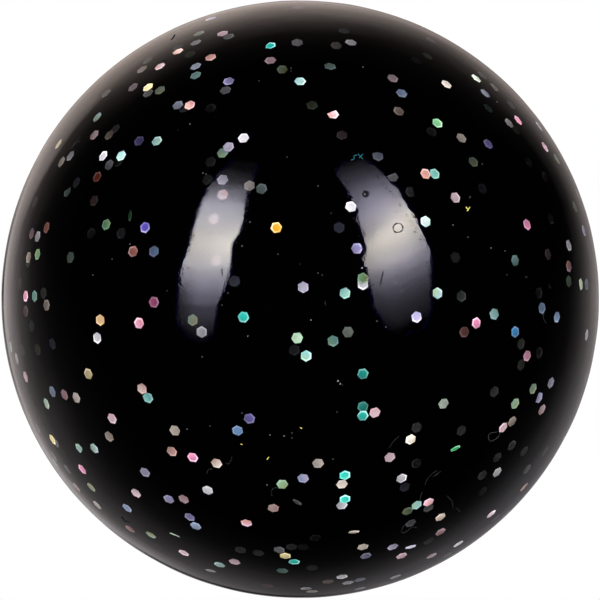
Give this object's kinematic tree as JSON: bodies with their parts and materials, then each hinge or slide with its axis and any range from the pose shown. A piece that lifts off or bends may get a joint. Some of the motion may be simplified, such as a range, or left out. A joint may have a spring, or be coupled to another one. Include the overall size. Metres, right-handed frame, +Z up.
{
  "type": "bouncy ball",
  "caption": "Solid high-bounce rubber ball, black with hexagonal glitter flakes under a clear glossy rubber skin.",
  "frame": {"origin": "centre of the ball", "axes": "+Z up, -Y towards the pictured face; the skin halves meet in the XZ plane, so +Y is the mould's axis"},
  "size_m": [0.049, 0.049, 0.049],
  "materials": {
    "black_rubber": "smooth",
    "clear_skin": "clear, high gloss",
    "silver_foil": "glossy foil",
    "champagne_foil": "glossy foil",
    "gold_foil": "glossy foil",
    "copper_foil": "glossy foil",
    "pink_foil": "glossy foil",
    "violet_foil": "glossy foil",
    "blue_foil": "glossy foil",
    "aqua_foil": "glossy foil",
    "green_foil": "glossy foil"
  },
  "bodies": {
    "root": {"core": "black_rubber", "front_skin": "clear_skin", "rear_skin": "clear_skin", "silver_glitter": "silver_foil", "champagne_glitter": "champagne_foil", "gold_glitter": "gold_foil", "copper_glitter": "copper_foil", "pink_glitter": "pink_foil", "violet_glitter": "violet_foil", "blue_glitter": "blue_foil", "aqua_glitter": "aqua_foil", "green_glitter": "green_foil"}
  },
  "joints": []
}
